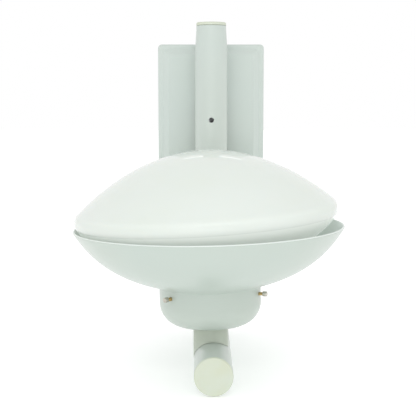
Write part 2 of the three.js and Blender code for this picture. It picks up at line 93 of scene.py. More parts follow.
# The head's own lean is the direction in which its glass lifts off.
LIFT = next(joint["axis"] for joint in frame["joints"] if joint["name"] == "glass_lift")
HEAD_LEAN = math.atan2(-LIFT[0], LIFT[2])
HEAD_HEIGHT = POST_HIGH.z + 0.55  # the leaning cup clears the post
GLASS_LEAN = math.radians(2.4)
GLASS_SHIFT = 2.0  # sideways in the cup

# Lamp head: radii from its axis, and heights from the cup's underside.
NIPPLE_HOLE_RADIUS = 5.2
CUP_RADIUS, CUP_HEIGHT, CUP_SHEET, CUP_CORNER = 43.4, 33.6, 1.2, 20
SCREW_BEARINGS = (71, -49, 191)  # degrees; 0 faces the room
SCREW_HEIGHT = 28
SHANK_RADIUS, SHANK_START = 1.5, 38.4
SHANK_THREAD_DEPTH, SHANK_THREAD_PITCH = 0.22, 0.7
THUMB_START, THUMB_RADIUS, THUMB_LENGTH, THUMB_ROUND = 46.8, 2.15, 3.7, 0.4
MILLING_DEPTH, MILLING_RIDGES = 0.14, 16
RIM_RADIUS, RIM_HEIGHT, RIM_ROUND, DISH_SHEET = 114.8, 84.5, 0.9, 1.2
NECK_HANDLE, RIM_HANDLE = (42.4, 37.2), (89.8, 39.5)
HEM_HEIGHT, HEM_STEP = 6, 0.25
GLASS_RADIUS, GLASS_EQUATOR, GLASS_APEX, GLASS_WALL = 111.5, 95.3, 149.7, 3
GLASS_EDGE_ROUND, GLASS_EDGE_ANGLES = 10, (-30, 47)
NECK_RADIUS, NECK_FOOT, NECK_TOP = 36.8, 18, 40
LIP_ROUND, LIP_STEPS = 0.8, 4
UNDERSIDE_HANDLES = ((NECK_RADIUS + 5, NECK_TOP + 10), (98, 68))
DOME_HANDLES = ((79.5, 128.6), (40.6, GLASS_APEX))

# Lampholder and bulb, E27
HOLDER_BORE, HOLDER_RADIUS, HOLDER_FOOT, HOLDER_SPLIT = 16.4, 18, 5, 20
E27_THREAD_DEPTH, E27_THREAD_PITCH = 0.5, 3.6
BULB_RADIUS, BULB_CENTRE, BULB_FOOT = 27.5, 86, 44.3

# Studio: places in metres, angles in degrees
CAMERA_LENS, CAMERA_PLACE = 86.48, (-0.00929, -1.04595, 0.04232)
CAMERA_PITCH, CAMERA_YAW = 90 - 6.150, -0.348
FLOOR_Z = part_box("arm_front_cap")[0].z - 0.0006


def head_place(x=0.0, lean=0.0):
    """From the lamp head's own millimetres, counted from the cup's underside, to metres."""
    post_top = Matrix.Translation(Vector((LAMP_X, LAMP_Y, HEAD_HEIGHT)) * MM)
    own = Matrix.Translation((x * MM, 0, 0)) @ Matrix.Rotation(-lean, 4, "Y")
    return post_top @ Matrix.Rotation(-HEAD_LEAN, 4, "Y") @ own @ Matrix.Scale(MM, 4)


def room_place(x=0.0, y=0.0, z=0.0, turn=Matrix.Identity(4)):
    """From a piece's own millimetres to metres in the row frame."""
    return Matrix.Translation(Vector((x, y, z)) * MM) @ turn @ Matrix.Scale(MM, 4)


HEAD = head_place()
TO_ROOM = Matrix.Rotation(math.pi / 2, 4, "X")  # turns +Z towards the room, -Y
DOWN = Matrix.Rotation(math.pi, 4, "X")

# ---------------------------------------------------------------- outlines


def arc(r, z, radius, start, end, steps):
    """Points of an arc in the (radius, height) plane; angles in degrees."""
    angles = [math.radians(start + (end - start) * i / steps) for i in range(steps + 1)]
    return [(r + radius * math.cos(a), z + radius * math.sin(a)) for a in angles]


def bezier(a, b, c, d, steps):
    """Points of a cubic Bezier curve."""
    points = []
    for i in range(steps + 1):
        t = i / steps
        weights = ((1 - t) ** 3, 3 * t * (1 - t) ** 2, 3 * t * t * (1 - t), t ** 3)
        points.append(tuple(sum(w * p[k] for w, p in zip(weights, (a, b, c, d))) for k in (0, 1)))
    return points


def offset(points, distance):
    """The same run of points moved to the left of its direction of travel."""
    moved = []
    for i, (r, z) in enumerate(points):
        before, after = points[max(i - 1, 0)], points[min(i + 1, len(points) - 1)]
        along = Vector((after[0] - before[0], after[1] - before[1])).normalized()
        moved.append((max(r - along.y * distance, 0.0), z + along.x * distance))
    return moved


# ---------------------------------------------------------------- meshes


def finish_mesh(name, mesh_builder, material, body="root", sharp=SHARP):
    """Writes a bmesh to a smooth-shaded object and puts it on its body."""
    bmesh.ops.remove_doubles(mesh_builder, verts=mesh_builder.verts, dist=1e-7)
    bmesh.ops.dissolve_degenerate(mesh_builder, edges=mesh_builder.edges, dist=1e-8)
    bmesh.ops.recalc_face_normals(mesh_builder, faces=mesh_builder.faces)
    mesh = bpy.data.meshes.new(name)
    mesh_builder.to_mesh(mesh)
    mesh_builder.free()
    mesh.shade_smooth()
    mesh.set_sharp_from_angle(angle=math.radians(sharp))
    mesh.materials.append(material)
    piece = bpy.data.objects.new(name, mesh)
    bpy.context.scene.collection.objects.link(piece)
    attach(piece, body)
    return piece


def turns_of(count):
    """The angles of that many equal steps round a circle."""
    return [2 * math.pi * i / count for i in range(count)]


def ring_of(builder, place, z, radii):
    """A ring of vertices about +Z, one at each radius, or one shared vertex where they are 0."""
    if max(radii) < 1e-6:
        return [builder.verts.new(place @ Vector((0, 0, z)))] * len(radii)
    points = [(r * math.cos(t), r * math.sin(t), z) for r, t in zip(radii, turns_of(len(radii)))]
    return [builder.verts.new(place @ Vector(point)) for point in points]


def join(builder, rings):
    """Faces between each ring and the one after it."""
    for ring, following in zip(rings, rings[1:]):
        for i in range(len(ring)):
            j = (i + 1) % len(ring)
            corners = list(dict.fromkeys((ring[i], ring[j], following[j], following[i])))
            if len(corners) > 2:
                builder.faces.new(corners)


def turned(outline, place, segments=96):
    """Turns a closed outline of (radius, height) about +Z."""
    builder = bmesh.new()
    rings = [ring_of(builder, place, z, [r] * segments) for r, z in outline]
    join(builder, rings + rings[:1])
    return builder


def threaded(radius, depth, pitch, start, end, place, bore=0.0, turns=32, per_pitch=6):
    """Bar or sleeve with a rolled thread: a helix of that pitch and depth on its outside."""
    builder = bmesh.new()
    levels = max(int((end - start) / pitch * per_pitch), 4)
    rings = []
    for level in range(levels + 1):
        z = start + (end - start) * level / levels
        fade = min(1.0, 2 * (z - start) / pitch, 2 * (end - z) / pitch)
        waves = [fade * math.cos(2 * math.pi * (z / pitch) - t) for t in turns_of(turns)]
        rings.append(ring_of(builder, place, z, [radius - depth * (0.5 - 0.5 * wave) for wave in waves]))
    if bore:
        rings += [ring_of(builder, place, z, [bore] * turns) for z in (end, start)]
        join(builder, rings + rings[:1])
    else:
        join(builder, rings)
        builder.faces.new(rings[0])
        builder.faces.new(rings[-1])
    return builder


def bar(radius, length, place, segments=48):
    """Solid round bar along +Z of its place, from z = 0."""
    return turned([(0, 0), (radius, 0), (radius, length), (0, length)], place, segments)


def cut(piece, *cutters):
    """Takes solids out of a piece, and leaves no modifier behind."""
    for cutter in cutters:
        mesh = bpy.data.meshes.new("cutter")
        bmesh.ops.recalc_face_normals(cutter, faces=cutter.faces)
        cutter.to_mesh(mesh)
        cutter.free()
        tool = bpy.data.objects.new("cutter", mesh)
        bpy.context.scene.collection.objects.link(tool)
        modifier = piece.modifiers.new("cut", "BOOLEAN")
        modifier.object = tool
        modifier.solver = "EXACT"
        evaluated = piece.evaluated_get(bpy.context.evaluated_depsgraph_get())
        result = bpy.data.meshes.new_from_object(evaluated)
        piece.modifiers.clear()
        old = piece.data
        piece.data = result
        result.name = piece.name
        bpy.data.meshes.remove(old)
        bpy.data.objects.remove(tool)
    piece.data.set_sharp_from_angle(angle=math.radians(SHARP))


def stands_for(node):
    """Hides a CAD node, for a piece that stands in its place."""
    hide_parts(node)


# ---------------------------------------------------------------- material nodes


class Paint:
    """A Principled material with noise-driven colour, roughness and bump."""

    def __init__(self, name, **constants):
        """Starts a material; the constants go straight on its shader's sockets."""
        self.material = bpy.data.materials.new(name)
        self.material.use_nodes = True
        self.tree = self.material.node_tree
        self.shader = self.tree.nodes["Principled BSDF"]
        self.place = self.tree.nodes.new("ShaderNodeTexCoord").outputs["Object"]
        self.height = None
        for socket, value in constants.items():
            self.shader.inputs[socket.replace("_", " ")].default_value = value

    def node(self, kind, **values):
        """Adds a node and sets its own properties."""
        made = self.tree.nodes.new(kind)
        for key, value in values.items():
            setattr(made, key, value)
        return made

    def link(self, source, target):
        """Joins an output socket to an input socket."""
        self.tree.links.new(source, target)

    def noise(self, scale, detail, roughness=0.5, stretch=(1, 1, 1)):
        """Noise with about `scale` features to the metre, stretched along the axes."""
        mapping = self.node("ShaderNodeMapping")
        mapping.inputs["Scale"].default_value = stretch
        texture = self.node("ShaderNodeTexNoise")
        texture.inputs["Scale"].default_value = scale
        texture.inputs["Detail"].default_value = detail
        texture.inputs["Roughness"].default_value = roughness
        self.link(self.place, mapping.inputs["Vector"])
        self.link(mapping.outputs["Vector"], texture.inputs["Vector"])
        return texture.outputs["Fac"]

    def cells(self, scale):
        """Cells with about `scale` of them to the metre."""
        texture = self.node("ShaderNodeTexVoronoi")
        texture.inputs["Scale"].default_value = scale
        self.link(self.place, texture.inputs["Vector"])
        return texture

    def spread(self, value, low, high, start=0.35, end=0.65):
        """Spreads the middle of a noise over a range."""
        mapped = self.node("ShaderNodeMapRange")
        self.link(value, mapped.inputs["Value"])
        for socket, number in zip(("From Min", "From Max", "To Min", "To Max"), (start, end, low, high)):
            mapped.inputs[socket].default_value = number
        return mapped.outputs["Result"]

    def blend(self, factor, first, second):
        """Mixes two colours, each a tuple or a socket."""
        mixed = self.node("ShaderNodeMix", data_type="RGBA")
        self.link(factor, mixed.inputs["Factor"])
        for socket, colour in (("A", first), ("B", second)):
            target = next(s for s in mixed.inputs if s.name == socket and s.type == "RGBA")
            if isinstance(colour, tuple):
                target.default_value = (*colour, 1)
            else:
                self.link(colour, target)
        return next(s for s in mixed.outputs if s.type == "RGBA")

    def bump(self, value, distance, strength):
        """Adds a relief of that depth in metres over the ones before it."""
        relief = self.node("ShaderNodeBump")
        relief.inputs["Distance"].default_value = distance
        relief.inputs["Strength"].default_value = strength
        self.link(value, relief.inputs["Height"])
        if self.height:
            self.link(self.height, relief.inputs["Normal"])
        self.height = relief.outputs["Normal"]

    def done(self, colour, roughness):
        """Joins colour, roughness and relief to the shader."""
        self.link(colour, self.shader.inputs["Base Color"])
        self.link(roughness, self.shader.inputs["Roughness"])
        if self.height:
            self.link(self.height, self.shader.inputs["Normal"])
        return self.material


def edges(paint):
    """1 on convex edges, 0 elsewhere."""
    geometry = paint.node("ShaderNodeNewGeometry")
    return paint.spread(geometry.outputs["Pointiness"], 0, 1, 0.515, 0.56)


def facing(paint, start, end):
    """0 to 1 as the upward part of the normal, 1 when it is straight up, goes from start to end."""
    normal = paint.node("ShaderNodeNewGeometry").outputs["Normal"]
    split = paint.node("ShaderNodeSeparateXYZ")
    paint.link(normal, split.inputs["Vector"])
    return paint.spread(split.outputs["Z"], 0, 1, start, end)


def white_enamel(name, tone):
    """Stoved white paint on steel: orange peel, faint clouding, a little dust on top, fine specks."""
    paint = Paint(name, Specular_IOR_Level=0.5, Coat_Weight=0.25, Coat_Roughness=0.12)
    warm = tuple(c * f for c, f in zip(tone, (1.0, 0.995, 0.975)))
    cool = tuple(c * f for c, f in zip(tone, (0.985, 1.0, 1.005)))
    clouds = paint.blend(paint.spread(paint.noise(7, 2), 0, 1, 0.25, 0.75), cool, warm)
    grime = tuple(c * 0.88 for c in warm)
    specks = paint.spread(paint.noise(240, 2), 0, 0.10, 0.60, 0.85)
    colour = paint.blend(specks, clouds, grime)
    dust = paint.node("ShaderNodeMath", operation="MULTIPLY")
    paint.link(facing(paint, 0.35, 1.0), dust.inputs[0])
    paint.link(paint.spread(paint.noise(50, 4, 0.6), 0.0, 0.10, 0.3, 0.7), dust.inputs[1])
    colour = paint.blend(dust.outputs["Value"], colour, (0.52, 0.51, 0.47))
    paint.bump(paint.noise(420, 1), 0.00002, 0.25)
    paint.bump(paint.noise(40, 1), 0.00008, 0.15)
    roughness = paint.spread(paint.noise(30, 4, 0.55), 0.30, 0.42)
    return paint.done(colour, roughness)


def opal_glass(name, tone, roughness=0.03, glow=0.0, shade=0.78):
    """Blown opal glass: a glossy skin with waves, seeds and smears, and painted shade where it faces down.
    """
    paint = Paint(name, Specular_IOR_Level=0.5, IOR=1.5, Subsurface_Weight=0.3, Subsurface_Scale=0.004)
    paint.shader.inputs["Subsurface Radius"].default_value = (1.0, 0.9, 0.8)
    milky = tuple(c * f for c, f in zip(tone, (0.985, 0.99, 0.975)))
    colour = paint.blend(paint.spread(paint.noise(14, 3, stretch=(1, 1, 3)), 0, 1), tone, milky)
    seeds = paint.spread(paint.cells(260).outputs["Distance"], 0.35, 0, 0.02, 0.07)
    colour = paint.blend(seeds, colour, tuple(c * 0.93 for c in tone))
    paint.bump(paint.noise(22, 1, stretch=(1, 1, 2.5)), 0.00006, 0.2)
    smears = paint.spread(paint.noise(26, 6, 0.7, (1, 1, 0.4)), roughness, roughness + 0.03, 0.45, 0.75)
    # Painted shade: the colour darkens by the factor shade where the surface faces down.
    colour = paint.blend(facing(paint, 0.45, -0.75), colour, tuple(c * shade for c in tone))
    # Glow on glass that is no lamp: painted light.
    paint.shader.inputs["Emission Color"].default_value = (*tone, 1)
    paint.shader.inputs["Emission Strength"].default_value = glow
    return paint.done(colour, smears)


def moulded_plastic(name, tone, roughness, grain=0.00003):
    """Moulded plastic: fine grain, flow marks and slightly yellowed patches."""
    paint = Paint(name, Specular_IOR_Level=0.45)
    aged = tuple(c * f for c, f in zip(tone, (0.98, 0.965, 0.90)))
    colour = paint.blend(paint.spread(paint.noise(55, 4), 0, 1), tone, aged)
    colour = paint.blend(edges(paint), colour, tuple(min(c * 1.08 + 0.004, 1) for c in tone))
    paint.bump(paint.noise(1700, 2), grain, 0.7)
    paint.bump(paint.noise(90, 3, stretch=(1, 4, 1)), grain * 3, 0.3)
    return paint.done(colour, paint.spread(paint.noise(120, 4), roughness - 0.07, roughness + 0.08))


def metal(name, tone, dull, roughness, spangle=0.0):
    """Plated or turned metal: tool marks, tarnish in patches, and bright worn edges."""
    paint = Paint(name, Metallic=1.0)
    colour = paint.blend(paint.spread(paint.noise(140, 5, 0.6), 0, 1), tone, dull)
    if spangle:
        crystals = paint.cells(spangle).outputs["Color"]
        grey = paint.node("ShaderNodeRGBToBW")
        paint.link(crystals, grey.inputs["Color"])
        colour = paint.blend(paint.spread(grey.outputs["Val"], 0, 0.5, 0.2, 0.8), colour, tone)
    colour = paint.blend(edges(paint), colour, tuple(min(c * 1.15, 1) for c in tone))
    paint.bump(paint.noise(1300, 3, stretch=(1, 1, 12)), 0.00003, 0.5)
    return paint.done(colour, paint.spread(paint.noise(300, 4), roughness - 0.08, roughness + 0.12))


def soft_rubber(name, tone):
    """Matt rubber or flex sheath: bloom and a fine pitted skin."""
    paint = Paint(name, Specular_IOR_Level=0.3)
    colour = paint.blend(paint.spread(paint.noise(180, 4), 0, 1), tone, tuple(c * 1.6 + 0.01 for c in tone))
    paint.bump(paint.noise(1500, 2), 0.00004, 0.6)
    return paint.done(colour, paint.spread(paint.noise(90, 3), 0.6, 0.85))


# The plate, tubes and head are one white enamel; their three tones differ as painted light and shade.
PLATE_WHITE = white_enamel("plate_white", (0.585, 0.65, 0.615))
TUBE_WHITE = white_enamel("tube_white", (0.575, 0.635, 0.595))
HEAD_WHITE = white_enamel("head_white", (0.515, 0.578, 0.53))
# The dish's inside is painted lighter than the head's white: painted light for what comes through the opal
# glass.
DISH_INSIDE_PAINTED_LIGHT = white_enamel("dish_inside_white_painted_light", (0.78, 0.84, 0.80))
OPAL = opal_glass("shade_opal", (0.765, 0.815, 0.77))
# The shade's underside gets a darker tone and a painted glow, standing in for the light that comes through
# its dome.
OPAL_UNDER_PAINTED_SHADE_AND_GLOW = opal_glass("shade_opal_under_painted_glow", (0.52, 0.55, 0.52), glow=0.45, shade=1.0)
BULB_OPAL = opal_glass("bulb_opal", (0.85, 0.86, 0.83), 0.18)
CREAM = moulded_plastic("cap_cream", (0.62, 0.67, 0.57), 0.42)
# The post is the caps' cream plastic, made darker as painted shade under the cup.
POST_CREAM_SHADED = moulded_plastic("post_cream_painted_shade", (0.44, 0.485, 0.41), 0.40)
BLACK = moulded_plastic("bakelite_black", (0.022, 0.020, 0.018), 0.38, 0.00002)
CERAMIC = moulded_plastic("steatite", (0.78, 0.77, 0.72), 0.40)
ZINC = metal("zinc_plate", (0.62, 0.64, 0.66), (0.40, 0.42, 0.44), 0.38, spangle=150)
BRASS = metal("lacquered_brass", (0.60, 0.45, 0.20), (0.34, 0.24, 0.11), 0.38)
NICKEL = metal("nickel_plate", (0.58, 0.56, 0.50), (0.36, 0.34, 0.29), 0.38)
RUBBER = soft_rubber("grommet_rubber", (0.030, 0.030, 0.030))
SHEATH = soft_rubber("flex_sheath", (0.42, 0.43, 0.40))

# ---------------------------------------------------------------- camera, lights and floor


def studio():
    """The photo's view, soft white light, and a white floor that carries the lamp's shadow."""
    camera = bpy.data.objects.new("camera", bpy.data.cameras.new("camera"))
    camera.data.lens = CAMERA_LENS
    camera.location = CAMERA_PLACE
    camera.rotation_euler = (math.radians(CAMERA_PITCH), 0, math.radians(CAMERA_YAW))
    bpy.context.scene.collection.objects.link(camera)
    bpy.context.scene.camera = camera
    bpy.context.scene.view_settings.view_transform = "Standard"

    backdrop()
    soft_light("front_softbox", (-0.25, -2.8, 0.2), width=1.8, height=1.2, power=2)
    row_start, row_step, row_lamps = -0.66, 0.165, 9
    for number in range(row_lamps):
        place = (row_start + row_step * number, -1.9, 1.31)
        soft_light(f"row_lamp_{number + 1}", place, width=0.10, height=0.07, power=0.50)
    soft_light("low_fill", (-0.2, -1.7, -0.10), width=1.4, height=0.16, power=1.2)
    soft_light("rear_tube", (0.02, 1.8, 1.2), width=0.70, height=0.07, power=0.14)

    paint = Paint("studio_floor", Specular_IOR_Level=0.2)
    tint = paint.blend(paint.noise(3, 2), (0.92, 0.92, 0.92), (0.95, 0.95, 0.95))
    paint.shader.inputs["Emission Color"].default_value = (1, 1, 1, 1)
    paint.shader.inputs["Emission Strength"].default_value = 0.28
    white = paint.done(tint, paint.spread(paint.noise(8, 2), 0.8, 0.9))
    bpy.ops.mesh.primitive_plane_add(size=14, location=(0, 0, FLOOR_Z))
    floor = bpy.context.object
    floor.name = "studio_floor"
    floor.data.materials.append(white)


def backdrop():
    """White studio that falls off a little to both sides and overhead."""
    world = bpy.data.worlds.new("studio")
    world.use_nodes = True
    bpy.context.scene.world = world
    tree = world.node_tree
    split = tree.nodes.new("ShaderNodeSeparateXYZ")
    tree.links.new(tree.nodes.new("ShaderNodeTexCoord").outputs["Generated"], split.inputs["Vector"])
    sideways = tree.nodes.new("ShaderNodeMath")
    sideways.operation = "ABSOLUTE"
    tree.links.new(split.outputs["X"], sideways.inputs[0])
    strength = tree.nodes.new("ShaderNodeMath")
    strength.operation = "MULTIPLY"
    falls = ((sideways.outputs["Value"], 0.24, 0.75, 0.85), (split.outputs["Z"], 0.30, 0.95, 0.94))
    for socket, (amount, start, end, least) in zip(strength.inputs, falls):
        fall = tree.nodes.new("ShaderNodeMapRange")
        fall.interpolation_type = "SMOOTHSTEP"
        tree.links.new(amount, fall.inputs["Value"])
        for name, number in zip(("From Min", "From Max", "To Min", "To Max"), (start, end, 1.0, least)):
            fall.inputs[name].default_value = number
        tree.links.new(fall.outputs["Result"], socket)
    tree.links.new(strength.outputs["Value"], tree.nodes["Background"].inputs["Strength"])
    tree.nodes["Background"].inputs["Color"].default_value = (1, 1, 1, 1)


def soft_light(name, place, width, height, power):
    """Rectangular area light aimed at the lamp."""
    data = bpy.data.lights.new(name, "AREA")
    data.shape = "RECTANGLE"
    data.size, data.size_y, data.energy = width, height, power
    light = bpy.data.objects.new(name, data)
    light.location = place
    aim = Vector((0, LAMP_Y * MM, -0.06)) - Vector(place)
    light.rotation_euler = aim.to_track_quat("-Z", "Y").to_euler()
    bpy.context.scene.collection.objects.link(light)


# ---------------------------------------------------------------- wall plate


def rounded_ring(inset, y):
    """One level of the plate: a rounded rectangle in X and Z."""
    radius = max(PLATE_CORNER - 0.25 * inset, PLATE_LEAST_CORNER)
    right, top = PLATE_HIGH.x - inset - radius, PLATE_HIGH.z - inset - radius
    points = []
    for corner, (side_x, side_z) in enumerate(((1, 1), (-1, 1), (-1, -1), (1, -1))):
        for x, z in arc(side_x * right, side_z * top, radius, 90 * corner, 90 * corner + 90, 6):
            points.append(Vector((x, y, z)))
    return points


def plate_levels(sheet):
    """(inset, depth) from the wall to the raised flat: side, rounded edge, land, bevel, flat."""
    land, front = PLATE_LAND - sheet, -PLATE_LOW.y - sheet
    edge_round = PLATE_EDGE_ROUND - sheet * 0.5
    edge = arc(sheet + PLATE_EDGE_ROUND, land - PLATE_EDGE_ROUND, edge_round, 180, 90, 6)
    foot = arc(BEVEL_FOOT + sheet, land + BEVEL_FOOT_ROUND, BEVEL_FOOT_ROUND, -90, -48, 3)
    crest = arc(BEVEL_CREST + sheet * 0.5, front - BEVEL_CREST_ROUND, BEVEL_CREST_ROUND, 140, 90, 4)
    return [(sheet, 0.0), *edge, *foot, *crest]


def wall_plate():
    """Pressed plate with its bevelled border, hollow at the back."""
    builder = bmesh.new()
    rings = []
    for inset, depth in plate_levels(0)[::-1] + plate_levels(PLATE_SHEET):
        rings.append([builder.verts.new(point * MM) for point in rounded_ring(inset, -depth)])
    join(builder, rings)
    builder.faces.new(rings[0])
    builder.faces.new(rings[-1])
    plate = finish_mesh("wall_plate", builder, PLATE_WHITE, sharp=50)
    drill, behind = 12, PLATE_LOW.y + 6
    holes = [bar(FIXING_HOLE_RADIUS, drill, room_place(0, behind, z, TO_ROOM)) for z in FIXING_HEIGHTS]
    cable = bar(CABLE_HOLE_RADIUS, drill, room_place(0, behind, CABLE_HOLE_HEIGHT, TO_ROOM))
    cut(plate, *holes, cable)
    stands_for("plate_cover")


# ---------------------------------------------------------------- tubes, caps and post


def upright_tube():
    """Tube with a drawn-in top; its two front holes line up with the plate's screws."""
    foot = (TUBE_RADIUS, TAPER_FOOT)
    foot_handle = (TUBE_RADIUS, TAPER_FOOT + TAPER_HANDLE)
    top_handle = (TUBE_TOP_RADIUS, TUBE_HIGH.z - TAPER_HANDLE)
    top = (TUBE_TOP_RADIUS, TUBE_HIGH.z - TAPER_END_ROUND)
    taper = bezier(foot, foot_handle, top_handle, top, 10)
    lip = arc(top[0] - TAPER_END_ROUND, top[1], TAPER_END_ROUND, 0, 90, 3)
    bore = [(r - TUBE_WALL, z) for r, z in reversed(taper[:-1])]
    outline = [
        (TUBE_RADIUS - TUBE_WALL, TUBE_LOW.z),
        *arc(TUBE_RADIUS - TUBE_END_ROUND, TUBE_LOW.z + TUBE_END_ROUND, TUBE_END_ROUND, -90, 0, 3),
        *taper,
        *lip[1:],
        (TUBE_TOP_RADIUS - TUBE_WALL, TUBE_HIGH.z),
        *bore,
    ]
    tube = finish_mesh("upright_tube", turned(outline, room_place(0, TUBE_Y, 0)), TUBE_WHITE)
    drill = 20
    cutters = []
    for y in (TUBE_Y, TUBE_Y + drill):
        cutters += [bar(FIXING_HOLE_RADIUS, drill, room_place(0, y, z, TO_ROOM)) for z in FIXING_HEIGHTS]
    cable = bar(CABLE_HOLE_RADIUS, drill, room_place(0, TUBE_Y + drill, CABLE_HOLE_HEIGHT, TO_ROOM))
    into_arm = bar(PASSAGE_RADIUS, drill, room_place(0, TUBE_Y, ARM_Z, TO_ROOM))
    cut(tube, *cutters, cable, into_arm)
    stands_for("wall_tube")


def arm():
    """Tube from the upright towards the room, its back end shaped to the upright's side."""
    length, bore, rounded = TUBE_Y - ARM_LOW.y, TUBE_RADIUS - TUBE_WALL, TUBE_RADIUS - TUBE_END_ROUND
    outline = [
        (bore, 0),
        (rounded, 0),
        *arc(rounded, TUBE_END_ROUND, TUBE_END_ROUND, -90, 0, 3)[1:],
        *arc(rounded, length - TUBE_END_ROUND, TUBE_END_ROUND, 0, 90, 3),
        (bore, length),
    ]
    tube = finish_mesh("arm", turned(outline, room_place(0, TUBE_Y, ARM_Z, TO_ROOM)), TUBE_WHITE)
    upright = bar(TUBE_RADIUS + GAP, 60, room_place(0, TUBE_Y, ARM_Z - 30), 96)
    into_post = bar(PASSAGE_RADIUS, 20, room_place(LAMP_X, LAMP_Y, ARM_Z))
    cut(tube, upright, into_post)
    stands_for("arm_tube")


def tube_cap(name, node, place, radius=TUBE_RADIUS):
    """Push-in cap: a flange with a rounded edge and a barely domed face, on a hollow plug."""
    plug = radius - TUBE_WALL - GAP
    outline = [
        (0, CAP_FLANGE),
        (radius * 0.5, CAP_FLANGE - 0.03),
        *arc(radius - CAP_ROUND, CAP_FLANGE - 1.2, CAP_ROUND, 90, 0, 8),
        *arc(radius - CAP_HEEL_ROUND, CAP_HEEL_ROUND, CAP_HEEL_ROUND, 0, -90, 3),
        (plug, 0),
        (plug, 0.4 - PLUG_DEPTH),
        (plug - 0.4, -PLUG_DEPTH),
        (plug - PLUG_SKIN, -PLUG_DEPTH),
        (plug - PLUG_SKIN, 0),
        (0, 0),
    ]
    cap = finish_mesh(name, turned(outline, place), CREAM)
    stands_for(node)


def post_sleeve():
    """Short tube from the arm to the cup, closed at its top round the nipple."""
    top, bore = POST_HIGH.z, POST_RADIUS - TUBE_WALL
    outline = [
        (bore, ARM_Z),
        (POST_RADIUS, ARM_Z),
        *arc(POST_RADIUS - POST_ROUND, top - POST_ROUND, POST_ROUND, 0, 90, 4),
        (NIPPLE_HOLE_RADIUS, top),
        (NIPPLE_HOLE_RADIUS, top - POST_CROWN),
        (bore, top - POST_CROWN),
    ]
    post = finish_mesh("post_sleeve", turned(outline, room_place(LAMP_X, LAMP_Y, 0)), POST_CREAM_SHADED)
    cut(post, bar(TUBE_RADIUS + GAP, 80, room_place(0, LAMP_Y + 40, ARM_Z, TO_ROOM), 96))
    stands_for("post")


def arm_weld():
    """Painted, slightly rippled weld bead where the arm ends on the upright's side."""
    place = room_place(0, TUBE_Y, ARM_Z, TO_ROOM @ Matrix.Rotation(math.pi / 2, 4, "Z"))
    radius, across = TUBE_RADIUS - 0.1, TUBE_RADIUS + 0.1
    builder = bmesh.new()
    rings = []
    for t in turns_of(96):
        outward = Vector((math.cos(t), math.sin(t), 0))
        x, y = radius * math.cos(t), radius * math.sin(t)
        centre = Vector((x, y, math.sqrt(max(across * across - y * y, 0.0))))
        bead = WELD_RADIUS * (1 + WELD_RIPPLE * math.sin(WELD_RIPPLES * t))
        ring = []
        for a in turns_of(8):
            around = outward * math.cos(a) + Vector((0, 0, 1)) * math.sin(a)
            ring.append(builder.verts.new(place @ (centre + bead * around)))
        rings.append(ring)
    join(builder, rings + rings[:1])
    weld = finish_mesh("arm_weld", builder, TUBE_WHITE, sharp=80)


# ---------------------------------------------------------------- lamp head


def gallery_cup():
    """Round cup that carries the dish and the thumb screws."""
    round_centre, inner = CUP_RADIUS - CUP_CORNER, CUP_RADIUS - CUP_SHEET
    outline = [
        (NIPPLE_HOLE_RADIUS, 0),
        *arc(round_centre, CUP_CORNER, CUP_CORNER, -90, 0, 10),
        (CUP_RADIUS, CUP_HEIGHT),
        (inner, CUP_HEIGHT),
        *arc(round_centre, CUP_CORNER, CUP_CORNER - CUP_SHEET, 0, -90, 10),
        (NIPPLE_HOLE_RADIUS, CUP_SHEET),
    ]
    cup = finish_mesh("cup", turned(outline, HEAD, 128), HEAD_WHITE)
    inside = Matrix.Translation((0, 0, CUP_RADIUS - 5))
    holes = [bar(SHANK_RADIUS + GAP, 10, screw_place(bearing) @ inside, 24) for bearing in SCREW_BEARINGS]
    cut(cup, *holes)
    stands_for("gallery_cup")


def spun_dish():
    """Dish with a hemmed rim and the faint step that the spinning tool leaves below it."""
    foot, inner = CUP_HEIGHT - 0.3, CUP_RADIUS - CUP_SHEET - 0.1  # paint closes the seam on the cup
    rim_foot = (RIM_RADIUS - 0.4, RIM_HEIGHT - 1.2)
    outside = bezier((CUP_RADIUS + 0.03, foot), NECK_HANDLE, RIM_HANDLE, rim_foot, 40)
    outside = [(r + HEM_STEP * (z > RIM_HEIGHT - HEM_HEIGHT), z) for r, z in outside]
    rim = arc(RIM_RADIUS - RIM_ROUND, RIM_HEIGHT - RIM_ROUND, RIM_ROUND, -35, 145, 8)
    inside = offset(outside, DISH_SHEET)[::-1]
    outline = [*outside, *rim, *inside[1:-1], (inner, foot + DISH_SHEET), (inner, foot)]
    dish = finish_mesh("reflector_dish", turned(outline, HEAD, 192), HEAD_WHITE)
    dish.data.materials.append(DISH_INSIDE_PAINTED_LIGHT)
    # Faces that look up into the dish take the lighter white: painted light.
    for face in dish.data.polygons:
        face.material_index = int(face.normal.dot(Vector(LIFT)) > 0.15)
    stands_for("dish")


def glass_outside():
    """The shade's outside from the foot of its neck, over the rounded edge, to the apex."""
    lip = arc(NECK_RADIUS - LIP_ROUND, NECK_FOOT + LIP_ROUND, LIP_ROUND, -90, 0, LIP_STEPS)
    edge = arc(GLASS_RADIUS - GLASS_EDGE_ROUND, GLASS_EQUATOR, GLASS_EDGE_ROUND, *GLASS_EDGE_ANGLES, 20)
    underside = bezier((NECK_RADIUS, NECK_TOP), *UNDERSIDE_HANDLES, edge[0], 24)
    dome = bezier(edge[-1], *DOME_HANDLES, (0, GLASS_APEX), 40)
    return [*lip, *underside, *edge[1:], *dome[1:]]


